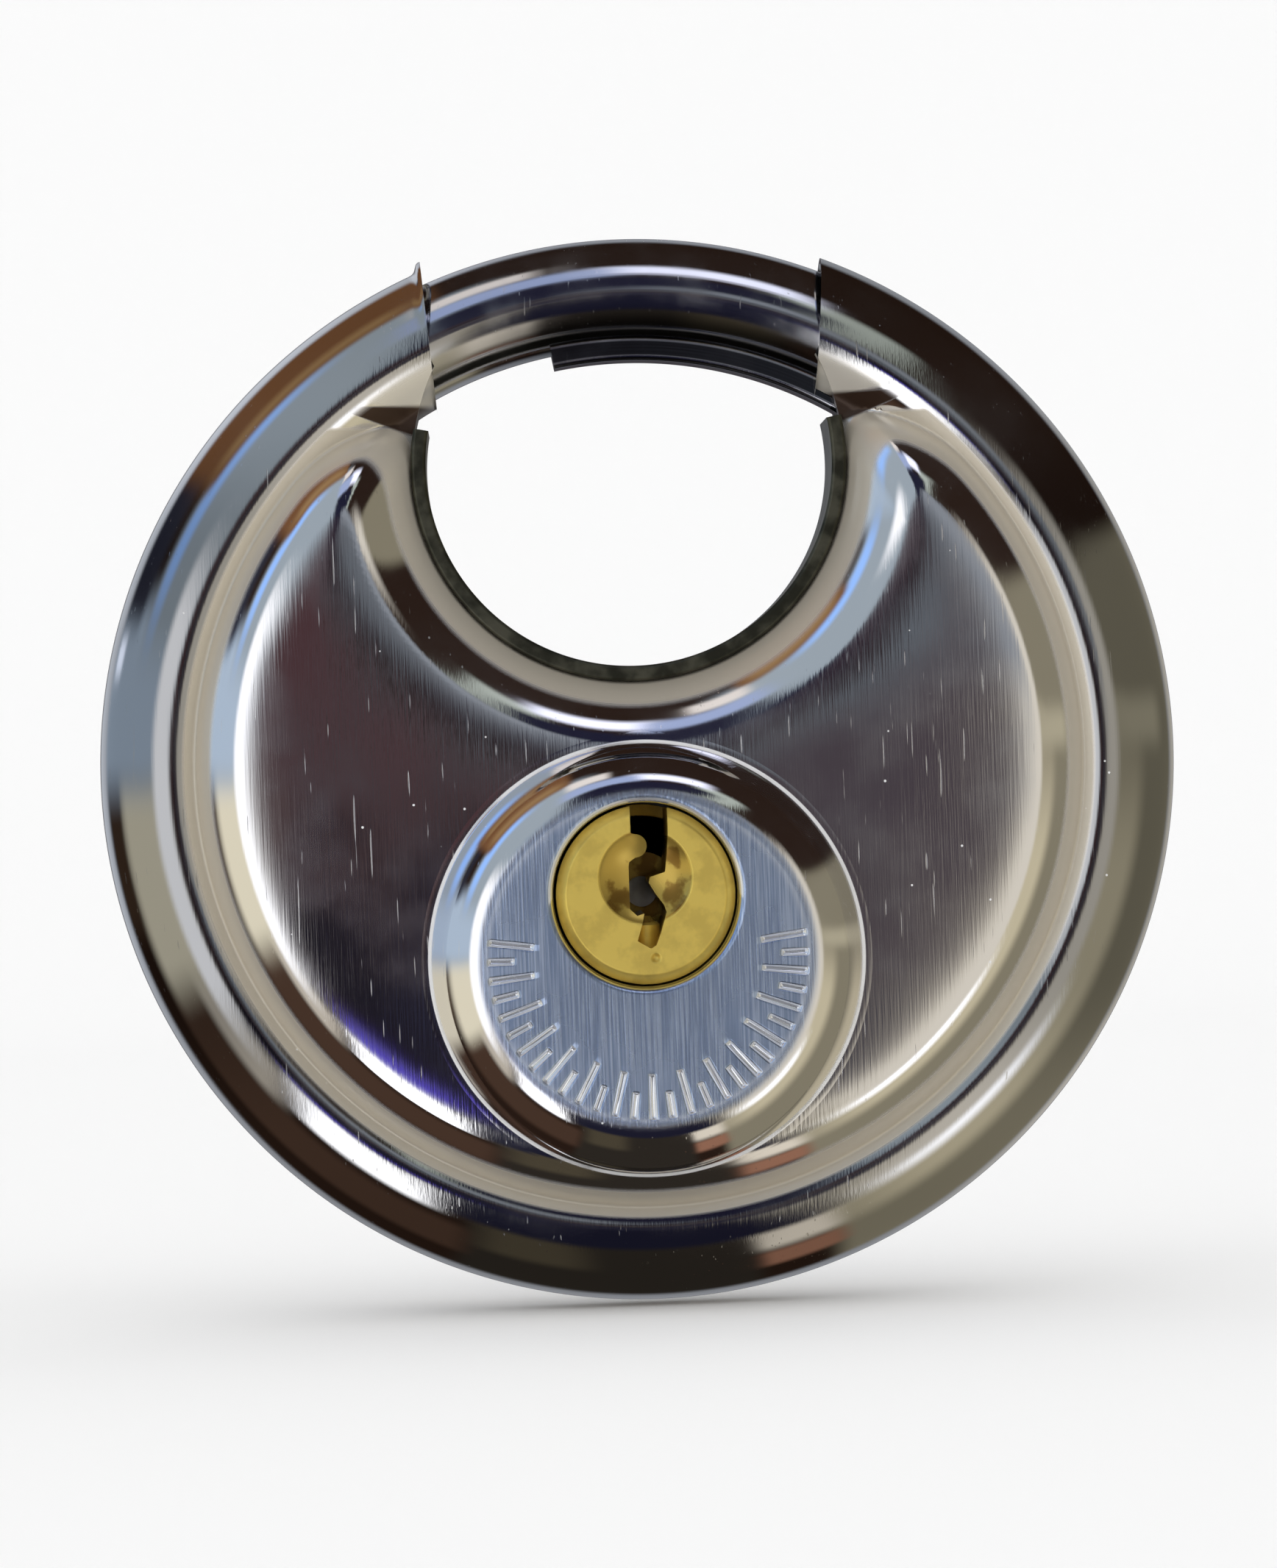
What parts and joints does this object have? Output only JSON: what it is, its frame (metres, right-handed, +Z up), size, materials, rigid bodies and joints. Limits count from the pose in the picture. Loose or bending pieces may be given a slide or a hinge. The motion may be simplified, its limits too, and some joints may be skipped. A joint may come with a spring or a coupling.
{
  "type": "disc padlock",
  "caption": "Round disc padlock with pressed metal shells, a keyed brass plug and a round-bar shackle that swings across a curved throat.",
  "frame": {"origin": "centre of the round throat that the shackle closes", "axes": "+Z up towards the shackle, keyhole face towards -Y, +X to the right as the keyhole face is seen"},
  "size_m": [0.07, 0.0216, 0.0691],
  "materials": {
    "polished_stainless": "mirror polished",
    "polished_hardened_steel": "polished",
    "zinc_plated_steel": "satin",
    "brass": "turned",
    "spring_steel": "drawn wire"
  },
  "bodies": {
    "body": {"front_shell": "polished_stainless", "rear_shell": "polished_stainless", "throat_liner": "polished_stainless", "front_guide_frame": "zinc_plated_steel", "rear_guide_frame": "zinc_plated_steel", "frame_screws": "zinc_plated_steel", "rear_support_plate": "zinc_plated_steel", "tip_stop": "zinc_plated_steel", "cylinder_housing": "brass", "cylinder_screws": "zinc_plated_steel", "drill_guard_plate": "zinc_plated_steel", "chamber_cover": "zinc_plated_steel", "pin_spring_1": "spring_steel", "pin_spring_2": "spring_steel", "pin_spring_3": "spring_steel", "pin_spring_4": "spring_steel", "pin_spring_5": "spring_steel"},
    "plug": {"plug": "brass", "plug_clip": "zinc_plated_steel", "drive_lever": "zinc_plated_steel", "drive_pin": "zinc_plated_steel", "lever_washer": "zinc_plated_steel", "lever_screw": "zinc_plated_steel"},
    "shackle": {"shackle": "polished_hardened_steel", "tail_fork": "zinc_plated_steel", "tail_rivets": "zinc_plated_steel"},
    "key_pin_1": {"key_pin_1": "brass"},
    "driver_pin_1": {"driver_pin_1": "brass"},
    "key_pin_2": {"key_pin_2": "brass"},
    "driver_pin_2": {"driver_pin_2": "brass"},
    "key_pin_3": {"key_pin_3": "brass"},
    "driver_pin_3": {"driver_pin_3": "brass"},
    "key_pin_4": {"key_pin_4": "brass"},
    "driver_pin_4": {"driver_pin_4": "brass"},
    "key_pin_5": {"key_pin_5": "brass"},
    "driver_pin_5": {"driver_pin_5": "brass"}
  },
  "joints": [
    {"name": "shackle_swing", "type": "hinge", "parent": "body", "child": "shackle", "pos_m": [0, 0, -0.01935], "axis": [0, 1, 0], "range_deg": [0, 58.4]},
    {"name": "plug_turn", "type": "hinge", "parent": "body", "child": "plug", "pos_m": [0, 0, -0.02781], "axis": [0, 1, 0], "range_deg": [0, 90]},
    {"name": "key_pin_1_lift", "type": "slide", "parent": "plug", "child": "key_pin_1", "axis": [0, 0, 1], "range_m": [0, 0.0009]},
    {"name": "driver_pin_1_press", "type": "slide", "parent": "body", "child": "driver_pin_1", "axis": [0, 0, -1], "range_m": [0, 0.0012], "stiffness_N_per_m": 60, "springref_m": -0.002, "deforming": ["pin_spring_1"]},
    {"name": "key_pin_2_lift", "type": "slide", "parent": "plug", "child": "key_pin_2", "axis": [0, 0, 1], "range_m": [0, 0.0009]},
    {"name": "driver_pin_2_press", "type": "slide", "parent": "body", "child": "driver_pin_2", "axis": [0, 0, -1], "range_m": [0, 0.0012], "stiffness_N_per_m": 60, "springref_m": -0.002, "deforming": ["pin_spring_2"]},
    {"name": "key_pin_3_lift", "type": "slide", "parent": "plug", "child": "key_pin_3", "axis": [0, 0, 1], "range_m": [0, 0.0009]},
    {"name": "driver_pin_3_press", "type": "slide", "parent": "body", "child": "driver_pin_3", "axis": [0, 0, -1], "range_m": [0, 0.0012], "stiffness_N_per_m": 60, "springref_m": -0.002, "deforming": ["pin_spring_3"]},
    {"name": "key_pin_4_lift", "type": "slide", "parent": "plug", "child": "key_pin_4", "axis": [0, 0, 1], "range_m": [0, 0.0009]},
    {"name": "driver_pin_4_press", "type": "slide", "parent": "body", "child": "driver_pin_4", "axis": [0, 0, -1], "range_m": [0, 0.0012], "stiffness_N_per_m": 60, "springref_m": -0.002, "deforming": ["pin_spring_4"]},
    {"name": "key_pin_5_lift", "type": "slide", "parent": "plug", "child": "key_pin_5", "axis": [0, 0, 1], "range_m": [0, 0.0009]},
    {"name": "driver_pin_5_press", "type": "slide", "parent": "body", "child": "driver_pin_5", "axis": [0, 0, -1], "range_m": [0, 0.0012], "stiffness_N_per_m": 60, "springref_m": -0.002, "deforming": ["pin_spring_5"]}
  ],
  "couplings": [
    {"joint": "plug_turn", "follows": "shackle_swing", "ratio": 1.5396}
  ]
}
